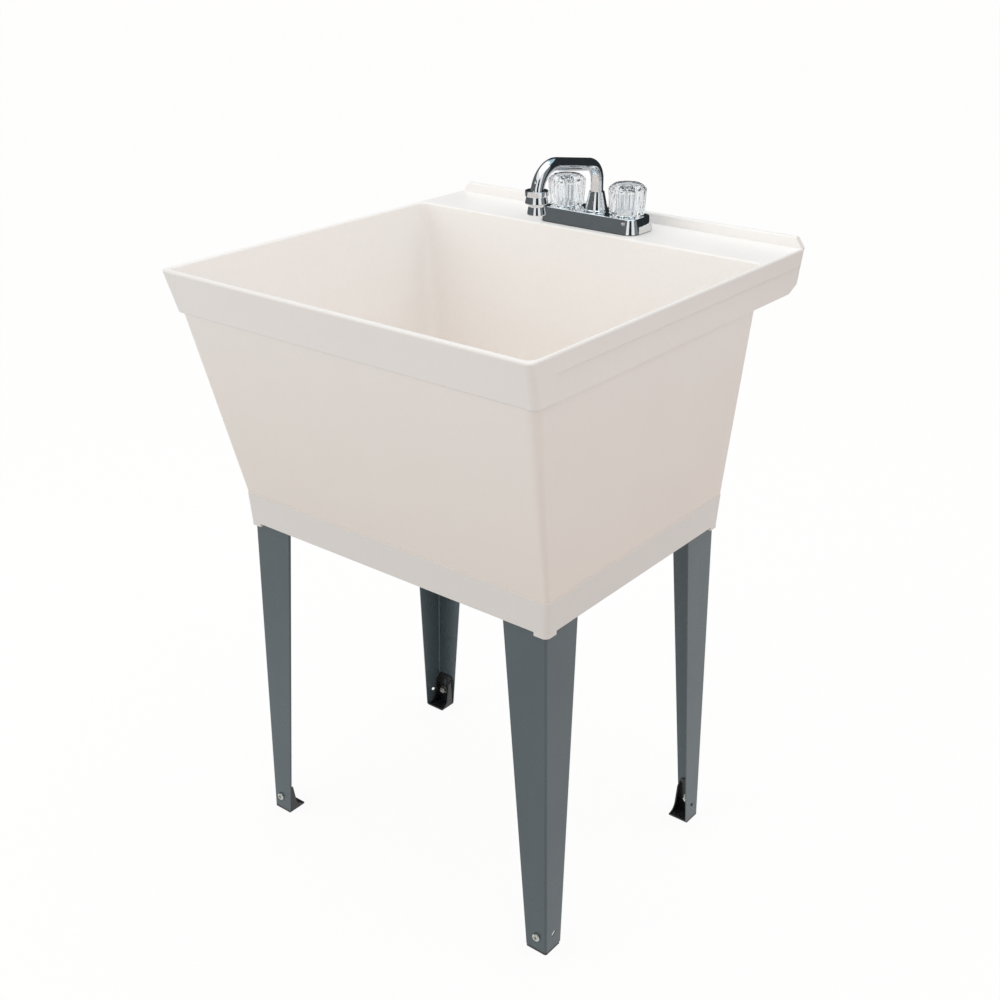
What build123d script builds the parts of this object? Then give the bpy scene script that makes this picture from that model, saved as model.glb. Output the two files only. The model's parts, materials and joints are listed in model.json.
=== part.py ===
from build123d import *
import os
from math import atan, degrees, radians, tan

# A free-standing utility laundry sink: a moulded tub with a faucet deck, four tapered sheet steel
# legs with levelling feet, a two-handle swivel spout faucet and a plugged drain.
# Millimetres. The origin is on the floor, under the middle of the tub's outline. +Z is up, the
# front of the tub faces -Y, the faucet stands at +Y, and hot is on the left, at -X.

os.makedirs("parts", exist_ok=True)

# ---------------------------------------------------------------- driving dimensions: the tub
tub_width = 581.0            # across the side rims
tub_depth = 597.0            # front rim to the back of the deck
rim_height = 855.0           # floor to the rim and the deck
upstand_rise = 14.0          # low ledge along the back of the deck
upstand_thickness = 9.0
upstand_end_slope = 12.0     # its ends slope off over this width
upstand_round = 3.0
wall = 4.5                   # moulded wall of the basin, floor and base
rim_lip = 3.0                # upright edge at the very top
rim_round = 2.4              # its rounding
band_height = 58.0           # apron band below the rim
band_corner_radius = 9.0
band_edge_round = 3.0
band_draft_front = 16.0      # the band's front leans in by this much, top to bottom
band_draft_side = 4.0
band_draft_back = 6.0
lip_front = 4.0              # the band stands this proud of the basin wall at the rim
lip_side = 2.0
strip_recess = 1.8           # lower strip of the side band, set back from the lip above it
strip_top_drop = 22.0        # rim to the top of that strip
strip_front_margin = 48.0    # full-thickness band that wraps each front corner
strip_back_margin = 9.0
deck_width = 108.5           # rear edge of the basin opening to the back of the deck
deck_thickness = 5.0
deck_skirt_wall = 5.0
deck_corner_cut = 21.0       # length and rise of the slope below the back of the deck
deck_corner_cut_rise = 14.3
deck_hollow_radius = 4.0
deck_rib_thickness = 4.0
deck_rib_height = 34.0
deck_rib_spread = (105.0, 205.0)  # ribs below the deck, to each side of the middle
basin_rim_radius = 10.0      # upright inside corners of the basin, at the rim
basin_floor_radius = 24.0    # and at its floor
body_corner_radius = 16.0    # outside corners of the basin at the rim
body_foot_radius = 5.0       # and at the base
floor_rise = 31.5            # lower edge of the base to the underside of the basin floor
basin_floor_round = 18.0
base_clear_height = 488.5    # floor to the lower edge of the base
base_height = 44.5
base_setback_side = 33.8     # tub's outline to the basin wall at the top of the base
base_setback_front = 80.8
base_setback_back = 118.8
base_step = 1.3              # the base stands this proud of the basin wall
base_draft = 2.5
base_step_round = 1.0
base_corner_radius = 7.5
pocket_rib_thickness = 3.0   # ribs that hold the leg tops in the corners of the base
pocket_rib_length = 72.0
pocket_lug_drop = 5.0        # corner of the base that laps over the leg
pocket_lug_length = 15.0

# ---------------------------------------------------------------- driving dimensions: the legs
leg_sheet = 1.5
leg_floor_gap = 3.0          # room for the foot's plate
leg_width_top = 67.0         # flange width at the very top
leg_width_foot = 32.0        # flange width at the floor
leg_splay = 9.0              # how far the legs lean outwards to each side over their height
leg_bend_radius = 3.2
leg_slip = 0.3               # clearance of the leg in its pocket
leg_hole_inset = 15.0        # screw hole, from the corner of the leg
leg_hole_height = 24.0
leg_slot_inset = 17.5        # spare slot in the side flange
leg_slot_height = 26.0
leg_slot_length = 9.0
leg_slot_width = 4.5
leg_slot_tilt = 35.0

# ---------------------------------------------------------------- driving dimensions: the feet
foot_travel = 18.0
foot_sheet = 2.0
foot_plate_thickness = 2.5
foot_height = 54.0
foot_width = 29.0
foot_plate_length = 30.0     # from the front of the leg
foot_gusset_top = 8.0        # depth of the side walls at the top
foot_gusset_waist = 13.0     # and just above their flare to the plate
foot_gusset_waist_height = 14.0
foot_flare_radius = 15.0
foot_corner_radius = 6.0
foot_bend_radius = 2.2
foot_clearance = 0.35
screw_diameter = 6.0
screw_hole_play = 0.4        # radial play of the screws in their holes
screw_head_diameter = 11.5
screw_head_height = 3.4
screw_recess_width = 1.6
screw_recess_length = 6.4
screw_recess_depth = 1.8
screw_tail = 2.0             # thread that shows beyond the nut
nut_across_flats = 10.0
nut_height = 5.0
nut_edge = 0.6               # bevel of every nut's outer edge
washer_diameter = 13.0
washer_thickness = 1.2
thread_play = 0.05           # radial clearance of the plain thread cylinders
same_size = 0.001            # lengths closer than this are the same

# ---------------------------------------------------------------- driving dimensions: the faucet
handle_spacing = 101.6       # hot to cold, centre to centre
faucet_setback = 66.0        # faucet centre line to the back of the deck
deck_hole_diameter = 28.0
cover_length = 164.0
cover_depth = 60.0
cover_height = 19.5
cover_taper = 5.0
cover_corner_radius = 17.0
cover_wall = 2.0
cover_edge_round = 1.6
gasket_thickness = 1.2
gasket_inset = 1.5
fit_play = 0.3               # parts that only pass through or sit in each other
shank_diameter = 21.8        # thread of the mounting nuts
shank_length = 52.0          # below the deck's surface
inlet_diameter = 20.9        # thread of the supply connections, at the shanks' lower ends
inlet_length = 34.0
shank_bore = 12.0
barrel_diameter = 24.0
neck_diameter = 20.0
neck_rise = 8.5              # threaded neck above the cover
cross_tube_diameter = 14.0
cross_tube_bore = 8.0
shank_nut_across_flats = 32.0
shank_nut_height = 9.0
shank_washer_diameter = 38.0
shank_washer_thickness = 2.0
valve_seat_thickness = 1.2
stem_diameter = 13.9
bearing_play = 0.05          # radial running clearance of stems and spout
stem_journal_diameter = 9.9
stem_drive_diameter = 8.0
stem_drive_length = 21.0
stem_flat_depth = 0.8        # of the flat that drives the knob
stem_seal_thickness = 2.0
bonnet_across_flats = 26.0
bonnet_lip = 1.8
knob_height = 40.6
knob_bottom_radius = 24.4
knob_top_radius = 26.4
knob_crown_radius = 19.0
knob_crown_height = 6.5
knob_flutes = 12
knob_flute_radius = 4.2
knob_flute_depth = 1.5
knob_gap = 2.6               # cover to the knob's lower edge
knob_wall = 6.0
knob_hollow_height = 14.0
knob_socket_play = 0.1
knob_screw_diameter = 4.0
knob_screw_head_diameter = 8.4
knob_screw_head_height = 2.8
knob_screw_length = 13.0
knob_cap_diameter = 17.0
knob_cap_thickness = 2.0
knob_cap_recess = 8.0
knob_cap_play = 0.1

# ---------------------------------------------------------------- driving dimensions: the spout
spout_diameter = 17.5
spout_bore = 14.0
spout_reach = 138.5
spout_arch_height = 83.5     # deck to the centre line's first corner
spout_arch_rise = 9.0        # degrees that the top of the arch climbs forwards
spout_rear_bend = 24.0
spout_front_bend = 36.5
spout_tail_depth = 22.0      # length inside the boss
spout_tail_bore = 11.0
spout_groove_depth = 0.6     # of the retaining ring's groove
boss_diameter = 21.0
boss_rise = 17.5             # above the cover
hub_base_diameter = 33.6
hub_base_height = 2.2
hub_top_diameter = 21.4
hub_height = 26.0
retaining_ring_thickness = 2.0
seal_section = 1.6
seal_play = 0.02             # between a seal's outer edge and the boss's bore
seal_inset = 3.2             # lower seal's groove above the spout's end
seal_spacing = 12.4          # lower groove to upper groove
outlet_collar_diameter = 31.0
outlet_collar_height = 17.0
outlet_collar_edge = 1.2
outlet_height = 54.0         # deck to the lower face of the collar
outlet_thread_diameter = 23.4
outlet_thread_depth = 7.5
aerator_diameter = 25.4
aerator_skirt = 11.5
aerator_groove_diameter = 22.6
aerator_groove_height = 3.4
aerator_bore = 18.0
aerator_lip = 1.2
aerator_screen_thickness = 1.0
aerator_screen_hole = 1.6
aerator_screen_pitch = 2.8
aerator_screen_rows = 5
aerator_washer_thickness = 1.2

# ---------------------------------------------------------------- driving dimensions: the drain
drain_flange_diameter = 66.0
drain_flange_thickness = 2.4
drain_dish_margin = 12.0
drain_dish_depth = 3.0
drain_boss_margin = 8.0
drain_boss_drop = 4.0
drain_thread_diameter = 47.0
drain_hole_play = 0.5
drain_throat_diameter = 40.0
drain_length = 50.0          # flange top to the lower end of the threaded body
drain_cross_width = 3.0
drain_cross_depth = 6.0
drain_gasket_diameter = 68.0
drain_gasket_thickness = 3.0
drain_washer_thickness = 1.0
drain_nut_across_flats = 62.0
drain_nut_height = 8.0
tailpiece_diameter = 38.1
tailpiece_wall = 1.2
tailpiece_neck_diameter = 37.2  # inside the slip nut
tailpiece_length = 62.0
tailpiece_flange_thickness = 1.6
slip_nut_across_flats = 54.0
slip_nut_height = 14.0
slip_nut_lip = 2.0
slip_washer_thickness = 2.0
stopper_top_diameter = 44.0
stopper_bottom_diameter = 38.6
stopper_height = 14.0
stopper_head_height = 5.0
stopper_grip_diameter = 13.0
stopper_grip_height = 9.0
stopper_neck_diameter = 7.0

# ---------------------------------------------------------------- places worked out from these
half_width = tub_width / 2
front = -tub_depth / 2
back = tub_depth / 2
band_bottom = rim_height - band_height
base_top = base_clear_height + base_height
floor_under = base_clear_height + floor_rise
floor_top = floor_under + wall
base_half_width = half_width - base_setback_side
base_front = front + base_setback_front
base_back = back - base_setback_back
opening_back = back - deck_width
faucet_y = back - faucet_setback
drain_y = (base_front + base_back) / 2
handle_x = handle_spacing / 2


def between(low, high, share):
    return low + (high - low) * share


def wall_share(z):
    """Place of a level between the top of the base, 0, and the rim, 1."""
    return (z - base_top) / (rim_height - base_top)


def body_corner(z):
    """Radius of the basin's outside corners at a level."""
    return between(body_foot_radius, body_corner_radius, wall_share(z))


def body_outline(z, inset=0.0):
    """Half width, front and back of the basin's outside at a level, moved in by an inset."""
    share = wall_share(z)
    half = between(base_half_width, half_width - lip_side, share)
    near = between(base_front, front + lip_front, share)
    far = between(base_back, opening_back + wall, share)
    return half - inset, near + inset, far - inset


def band_outline(z):
    """Half width, front and back of the apron band's outside at a level."""
    share = (rim_height - rim_lip - z) / (band_height - rim_lip)
    return (
        half_width - band_draft_side * share,
        front + band_draft_front * share,
        back - band_draft_back * share,
    )


def base_outline(z):
    """Half width, front and back of the base's outside at a level."""
    step = base_step - base_draft * (base_top - z) / base_height
    return base_half_width + step, base_front - step, base_back + step


def outline_section(z, outline, radius):
    """Rounded rectangle at a level, as a section of a loft."""
    half, near, far = outline
    with BuildSketch(Plane.XY.offset(z)) as section:
        with Locations((0, (near + far) / 2)):
            RectangleRounded(2 * half, far - near, radius)
    return section.sketch


def ring(outer, inner, bottom, height, x=0.0, y=0.0):
    """Upright tube or washer, from its diameters, lower face and height."""
    with BuildPart() as tube:
        with BuildSketch(Plane.XY.offset(bottom)):
            with Locations((x, y)):
                Circle(outer / 2)
                Circle(inner / 2, mode=Mode.SUBTRACT)
        extrude(amount=height)
    return tube.part


def turned(points, x=0.0, y=0.0):
    """Solid turned about an upright axis, from a closed outline of radius and height pairs."""
    with BuildPart() as solid:
        with BuildSketch(Plane(origin=(x, y, 0), x_dir=(1, 0, 0), z_dir=(0, -1, 0))):
            with BuildLine():
                Polyline(*points, close=True)
            make_face()
        revolve(axis=Axis((x, y, 0), (0, 0, 1)))
    return solid.part


def hex_ring(across_flats, inner, bottom, height, x=0.0, y=0.0):
    """Upright hexagon nut with a plain bore."""
    with BuildPart() as nut:
        with BuildSketch(Plane.XY.offset(bottom)):
            with Locations((x, y)):
                RegularPolygon(across_flats / 2, 6, major_radius=False)
                Circle(inner / 2, mode=Mode.SUBTRACT)
        extrude(amount=height)
        chamfer(nut.edges().group_by(Axis.Z)[-1].filter_by(GeomType.LINE), nut_edge)
    return nut.part


# ---------------------------------------------------------------- tub
# The base's hollow under the basin floor, with its inner faces upright.
base_foot = base_outline(base_clear_height)
hollow_half = base_foot[0] - wall
hollow_front = base_foot[1] + wall
hollow_back = base_foot[2] - wall
base_hollow = (hollow_half, hollow_front, hollow_back)
base_middle_y = (hollow_front + hollow_back) / 2

# The outer corner of each leg stands just inside the corner of that hollow, and leans in above it.
leg_corner_x = hollow_half - leg_slip
leg_corner_y = hollow_front + leg_slip
leg_mouth_z = base_clear_height - pocket_lug_drop
pocket_gap = leg_sheet + 2 * leg_slip + leg_splay * (floor_under - leg_mouth_z) / floor_under

with BuildPart() as basin_hollow:
    for level, radius in ((floor_top, basin_floor_radius), (rim_height + wall, basin_rim_radius)):
        add(outline_section(level, body_outline(level, wall), radius))
    loft(ruled=True)
    fillet(basin_hollow.edges().group_by(Axis.Z)[0], basin_floor_round)

# Base block, with a shallow draft and a soft edge where it steps out from the walls.
with BuildPart() as base_block:
    for level in (base_clear_height, base_top):
        add(outline_section(level, base_outline(level), base_corner_radius))
    loft(ruled=True)
    fillet(base_block.edges().group_by(Axis.Z)[-1], base_step_round)

with BuildPart() as tub:
    # Apron band and deck block, drafted on all sides, with the deck's rear lower edge cut off.
    for level in (band_bottom, rim_height - rim_lip):
        add(outline_section(level, band_outline(level), band_corner_radius))
    loft(ruled=True)
    extrude(tub.faces().sort_by(Axis.Z)[-1], amount=rim_lip)
    with BuildSketch(Plane.YZ.offset(-half_width)):
        with BuildLine():
            Polyline(
                (back - band_draft_back - deck_corner_cut, band_bottom),
                (back, band_bottom + deck_corner_cut_rise),
                (back, band_bottom - wall),
                (back - band_draft_back - deck_corner_cut, band_bottom - wall),
                close=True,
            )
        make_face()
    extrude(amount=tub_width, mode=Mode.SUBTRACT)
    fillet(tub.edges().group_by(Axis.Z)[-1], rim_round)
    fillet(tub.edges().group_by(Axis.Z)[0], band_edge_round)

    # Recessed lower strip of each side band.
    for side in (-1, 1):
        strip_bottom = band_bottom - band_edge_round
        strip_top = rim_height - strip_top_drop
        with BuildSketch(Plane.XZ.offset(-front - strip_front_margin)):
            with BuildLine():
                Polyline(
                    (side * (band_outline(strip_bottom)[0] - strip_recess), strip_bottom),
                    (side * (band_outline(strip_top)[0] - strip_recess), strip_top - strip_recess),
                    (side * (half_width + strip_recess), strip_top + strip_recess),
                    (side * (half_width + strip_recess), strip_bottom),
                    close=True,
                )
            make_face()
        extrude(amount=-(tub_depth - strip_front_margin - strip_back_margin), mode=Mode.SUBTRACT)

    # Hollow below the deck.
    with BuildSketch(Plane.XY.offset(rim_height - deck_thickness)):
        deck_hollow_half = half_width - band_draft_side - deck_skirt_wall
        deck_hollow_front = opening_back + wall
        deck_hollow_back = back - band_draft_back - deck_skirt_wall
        with Locations((0, (deck_hollow_front + deck_hollow_back) / 2)):
            RectangleRounded(
                2 * deck_hollow_half,
                deck_hollow_back - deck_hollow_front,
                deck_hollow_radius,
            )
    extrude(amount=-band_height, mode=Mode.SUBTRACT)
    for spread in deck_rib_spread:
        for side in (-1, 1):
            with Locations((side * spread, deck_hollow_front, rim_height - deck_thickness)):
                Box(
                    deck_rib_thickness,
                    deck_hollow_back - deck_hollow_front,
                    deck_rib_height,
                    align=(Align.CENTER, Align.MIN, Align.MAX),
                )

    # Basin walls.
    for level in (base_top, rim_height - rim_round):
        add(outline_section(level, body_outline(level), body_corner(level)))
    loft(ruled=True)

    # Base, hollow below the basin floor.
    add(base_block.part)
    add(outline_section(floor_under, base_hollow, leg_bend_radius))
    extrude(amount=base_clear_height - floor_under - wall, mode=Mode.SUBTRACT)

    # Inside of the basin, with its upper edge rounded over.
    add(basin_hollow.part, mode=Mode.SUBTRACT)
    basin_mouth = tub.faces().filter_by(Axis.Z).group_by(Axis.Z)[-1].sort_by(SortBy.AREA)[-1]
    fillet(basin_mouth.inner_wires()[0].edges(), rim_round)

    # Drain seat: a boss below the floor, a shallow dish above it and the hole.
    with Locations((0, drain_y, floor_under)):
        Cylinder(
            drain_gasket_diameter / 2 + drain_boss_margin,
            drain_boss_drop,
            align=(Align.CENTER, Align.CENTER, Align.MAX),
        )
    with Locations((0, drain_y, floor_top)):
        Cone(
            drain_flange_diameter / 2 + fit_play,
            drain_flange_diameter / 2 + drain_dish_margin,
            drain_dish_depth,
            align=(Align.CENTER, Align.CENTER, Align.MAX),
            mode=Mode.SUBTRACT,
        )
        Cylinder(
            drain_thread_diameter / 2 + drain_hole_play,
            rim_height - floor_top,
            mode=Mode.SUBTRACT,
        )

    # Two faucet holes through the deck.
    with Locations((-handle_x, faucet_y, rim_height), (handle_x, faucet_y, rim_height)):
        Cylinder(deck_hole_diameter / 2, 2 * band_height, mode=Mode.SUBTRACT)

    # Low upstand along the back, with sloping ends.
    with BuildSketch(Plane.XZ.offset(-back)):
        with BuildLine():
            Polyline(
                (-half_width + rim_round, rim_height - rim_round),
                (-half_width + rim_round, rim_height),
                (-half_width + upstand_end_slope, rim_height + upstand_rise),
                (half_width - upstand_end_slope, rim_height + upstand_rise),
                (half_width - rim_round, rim_height),
                (half_width - rim_round, rim_height - rim_round),
                close=True,
            )
        make_face()
    extrude(amount=upstand_thickness)
    fillet(tub.edges().group_by(Axis.Z)[-1], upstand_round)

    # Corner pockets: an L-shaped rib inside each corner, and a lug that laps over the leg.
    for side in (-1, 1):
        for wall_y, inward in ((hollow_front, 1), (hollow_back, -1)):
            corner_x = side * hollow_half
            rib_x = corner_x - side * pocket_gap
            rib_y = wall_y + inward * pocket_gap
            with BuildSketch(Plane.XY.offset(base_clear_height + pocket_rib_thickness)):
                with BuildLine():
                    Polyline(
                        (rib_x, rib_y),
                        (corner_x - side * pocket_rib_length, rib_y),
                        (corner_x - side * pocket_rib_length, rib_y + inward * pocket_rib_thickness),
                        (rib_x - side * pocket_rib_thickness, rib_y + inward * pocket_rib_thickness),
                        (rib_x - side * pocket_rib_thickness, wall_y + inward * pocket_rib_length),
                        (rib_x, wall_y + inward * pocket_rib_length),
                        close=True,
                    )
                make_face()
            extrude(amount=floor_under - base_clear_height - pocket_rib_thickness)
            with BuildSketch(Plane.XY.offset(base_clear_height)):
                add(outline_section(0.0, base_foot, base_corner_radius))
                add(outline_section(0.0, base_hollow, leg_bend_radius), mode=Mode.SUBTRACT)
                with Locations((corner_x, wall_y)):
                    Rectangle(2 * pocket_lug_length, 2 * pocket_lug_length, mode=Mode.INTERSECT)
            extrude(amount=-pocket_lug_drop)

# ---------------------------------------------------------------- legs
leg_top = floor_under


def leg_corner(z):
    """Outer corner of the front right leg at a level: it leans out to the side only."""
    return leg_corner_x + leg_splay * (leg_mouth_z - z) / leg_top, leg_corner_y


def leg_width(z):
    """Width of both flanges at a level."""
    return between(leg_width_foot, leg_width_top, z / leg_top)


with BuildPart() as leg:
    for level in (leg_floor_gap, leg_top):
        corner_x, corner_y = leg_corner(level)
        width = leg_width(level)
        with BuildSketch(Plane.XY.offset(level)) as leg_section:
            with BuildLine():
                Polyline(
                    (corner_x, corner_y),
                    (corner_x - width, corner_y),
                    (corner_x - width, corner_y + leg_sheet),
                    (corner_x - leg_sheet, corner_y + leg_sheet),
                    (corner_x - leg_sheet, corner_y + width),
                    (corner_x, corner_y + width),
                    close=True,
                )
            make_face()
            bend_outside = leg_section.vertices().sort_by_distance((corner_x, corner_y))[0]
            fillet(bend_outside, leg_bend_radius)
            bend_inside = leg_section.vertices().sort_by_distance(
                (corner_x - leg_sheet, corner_y + leg_sheet)
            )[0]
            fillet(bend_inside, leg_bend_radius - leg_sheet)
    loft(ruled=True)
    # Screw hole through the front flange and a spare slot through the side flange.
    screw_x = leg_corner(leg_hole_height)[0] - leg_hole_inset
    with Locations(Location((screw_x, leg_corner_y, leg_hole_height), (90, 0, 0))):
        Cylinder(screw_diameter / 2 + screw_hole_play, screw_head_diameter, mode=Mode.SUBTRACT)
    with BuildSketch(Plane.YZ.offset(leg_corner_x)):
        with Locations((leg_corner_y + leg_slot_inset, leg_slot_height)):
            SlotOverall(leg_slot_length, leg_slot_width, rotation=leg_slot_tilt)
    extrude(amount=2 * leg_splay, mode=Mode.SUBTRACT)

# ---------------------------------------------------------------- levelling feet
# The foot is a channel that stands in the leg's corner, clear of it at every height.
foot_outer_x = leg_corner(foot_height)[0] - leg_sheet - foot_clearance
foot_outer_y = leg_corner_y + leg_sheet + foot_clearance
foot_inner_x = foot_outer_x - foot_width
foot_toe_y = leg_corner_y + foot_plate_length
web_inner_y = foot_outer_y + foot_sheet

with BuildPart() as foot:
    # Web against the front flange.
    with BuildSketch(Plane.XZ.offset(-foot_outer_y)) as web_section:
        with Locations(((foot_inner_x + foot_outer_x) / 2, foot_height / 2)):
            Rectangle(foot_width, foot_height)
        fillet(web_section.vertices().group_by(Axis.Y)[-1], foot_corner_radius)
        with Locations((screw_x, leg_hole_height + foot_travel / 2)):
            SlotCenterToCenter(
                foot_travel,
                screw_diameter + 2 * screw_hole_play,
                rotation=90,
                mode=Mode.SUBTRACT,
            )
    extrude(amount=-foot_sheet)
    # Two side walls that flare into the plate.
    for wall_x in (foot_inner_x, foot_outer_x - foot_sheet):
        with BuildSketch(Plane.YZ.offset(wall_x)):
            with BuildLine():
                Polyline(
                    (foot_toe_y, foot_plate_thickness),
                    (foot_toe_y, 0),
                    (foot_outer_y, 0),
                    (foot_outer_y, foot_height - foot_corner_radius),
                    (web_inner_y, foot_height - foot_corner_radius),
                    (foot_outer_y + foot_gusset_top, foot_height - 2 * foot_corner_radius),
                    (foot_outer_y + foot_gusset_waist, foot_gusset_waist_height),
                )
                RadiusArc(
                    (foot_outer_y + foot_gusset_waist, foot_gusset_waist_height),
                    (foot_toe_y, foot_plate_thickness),
                    -foot_flare_radius,
                )
            make_face()
        extrude(amount=foot_sheet)
    # The bends beside the flange are rounded, so that they clear the leg's own bend.
    with BuildSketch() as foot_plan:
        with Locations((foot_inner_x, foot_outer_y)):
            Rectangle(foot_width, foot_plate_length, align=(Align.MIN, Align.MIN))
        fillet(foot_plan.vertices().group_by(Axis.Y)[0], foot_bend_radius)
    extrude(amount=foot_height, mode=Mode.INTERSECT)
    # Plate that reaches below the leg's edges.
    plate_width = leg_corner(0.0)[0] - foot_inner_x
    with BuildSketch() as plate_section:
        with Locations((foot_inner_x, leg_corner_y)):
            Rectangle(plate_width, foot_plate_length, align=(Align.MIN, Align.MIN))
        plate_corner = plate_section.vertices().sort_by_distance((leg_corner(0.0)[0], leg_corner_y))[0]
        fillet(plate_corner, leg_bend_radius)
    extrude(amount=foot_plate_thickness)

# ---------------------------------------------------------------- foot screws, washers and nuts
screw_face_y = leg_corner_y
washer_y = web_inner_y + foot_clearance
nut_y = washer_y + washer_thickness
screw_end_y = nut_y + nut_height + screw_tail

with BuildPart() as foot_screw:
    with BuildSketch(Plane.XZ.offset(-screw_face_y)):
        with Locations((screw_x, leg_hole_height)):
            Circle(screw_diameter / 2)
    extrude(amount=-(screw_end_y - screw_face_y))
    chamfer(foot_screw.edges().sort_by(Axis.Y)[-1], screw_hole_play)
    with BuildSketch(Plane.XZ.offset(-screw_face_y)):
        with Locations((screw_x, leg_hole_height)):
            Circle(screw_head_diameter / 2)
    extrude(amount=screw_head_height)
    fillet(foot_screw.edges().sort_by(Axis.Y)[0], screw_head_height / 2)
    with BuildSketch(Plane.XZ.offset(-screw_face_y + screw_head_height)):
        with Locations((screw_x, leg_hole_height)):
            Rectangle(screw_recess_width, screw_recess_length)
            Rectangle(screw_recess_length, screw_recess_width)
    extrude(amount=-screw_recess_depth, mode=Mode.SUBTRACT)

with BuildPart() as foot_washer:
    with BuildSketch(Plane.XZ.offset(-washer_y)):
        with Locations((screw_x, leg_hole_height)):
            Circle(washer_diameter / 2)
            Circle(screw_diameter / 2 + thread_play, mode=Mode.SUBTRACT)
    extrude(amount=-washer_thickness)

with BuildPart() as foot_nut:
    with BuildSketch(Plane.XZ.offset(-nut_y)):
        with Locations((screw_x, leg_hole_height)):
            RegularPolygon(nut_across_flats / 2, 6, major_radius=False)
            Circle(screw_diameter / 2 + thread_play, mode=Mode.SUBTRACT)
    extrude(amount=-nut_height)
    chamfer(foot_nut.edges().group_by(Axis.Y)[-1].filter_by(GeomType.LINE), nut_edge)

# The four corners are mirror images. The middle plane of the base lies behind the origin.
left_mirror = Plane.YZ
rear_mirror = Plane.XZ.offset(-base_middle_y)


def corner_copy(piece, to_left, to_rear):
    """Copy of a front right piece in another corner."""
    with BuildPart() as copy:
        add(piece)
        if to_left:
            mirror(about=left_mirror, mode=Mode.REPLACE)
        if to_rear:
            mirror(about=rear_mirror, mode=Mode.REPLACE)
    return copy


def corner_set(piece):
    """All four corners' copies of a small piece, as one group of separate solids."""
    with BuildPart() as group:
        add(piece)
        mirror(about=left_mirror)
        mirror(about=rear_mirror)
    return group


corners = {
    "front_right": (False, False),
    "front_left": (True, False),
    "rear_right": (False, True),
    "rear_left": (True, True),
}
pieces = {"tub": tub}
for corner, turn in corners.items():
    pieces["leg_" + corner] = corner_copy(leg.part, *turn)
    pieces["foot_" + corner] = corner_copy(foot.part, *turn)
pieces["foot_screws"] = corner_set(foot_screw.part)
pieces["foot_washers"] = corner_set(foot_washer.part)
pieces["foot_nuts"] = corner_set(foot_nut.part)

# ---------------------------------------------------------------- faucet: gasket and cover
gasket_top = rim_height + gasket_thickness
cover_top = gasket_top + cover_height
cover_inside = cover_top - cover_wall

with BuildPart() as faucet_gasket:
    with BuildSketch(Plane.XY.offset(rim_height)):
        with Locations((0, faucet_y)):
            RectangleRounded(
                cover_length - 2 * gasket_inset,
                cover_depth - 2 * gasket_inset,
                cover_corner_radius - gasket_inset,
            )
            with Locations((-handle_x, 0), (handle_x, 0)):
                Circle(shank_diameter / 2 + fit_play, mode=Mode.SUBTRACT)
    extrude(amount=gasket_thickness)

with BuildPart() as faucet_cover:
    for level, inset in ((gasket_top, 0.0), (cover_top, cover_taper)):
        with BuildSketch(Plane.XY.offset(level)):
            with Locations((0, faucet_y)):
                RectangleRounded(
                    cover_length - 2 * inset,
                    cover_depth - 2 * inset,
                    cover_corner_radius - inset,
                )
    loft(ruled=True)
    fillet(faucet_cover.edges().group_by(Axis.Z)[-1], cover_edge_round)
    with BuildSketch(Plane.XY.offset(cover_inside)):
        with Locations((0, faucet_y)):
            RectangleRounded(
                cover_length - 2 * (cover_taper + cover_wall),
                cover_depth - 2 * (cover_taper + cover_wall),
                cover_corner_radius - cover_taper - cover_wall,
            )
    extrude(amount=-cover_height, mode=Mode.SUBTRACT)
    with Locations((-handle_x, faucet_y, cover_top), (handle_x, faucet_y, cover_top)):
        Cylinder(neck_diameter / 2 + fit_play, cover_height, mode=Mode.SUBTRACT)
    with Locations((0, faucet_y, cover_top)):
        Cylinder(boss_diameter / 2 + fit_play, cover_height, mode=Mode.SUBTRACT)

# ---------------------------------------------------------------- faucet: brass body
barrel_bottom = gasket_top
barrel_top = cover_inside
neck_top = cover_top + neck_rise
boss_top = cover_top + boss_rise
shank_bottom = rim_height - shank_length
cross_z = (barrel_bottom + barrel_top) / 2
stem_seat = barrel_bottom + valve_seat_thickness
spout_tail_bottom = boss_top - spout_tail_depth

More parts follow.
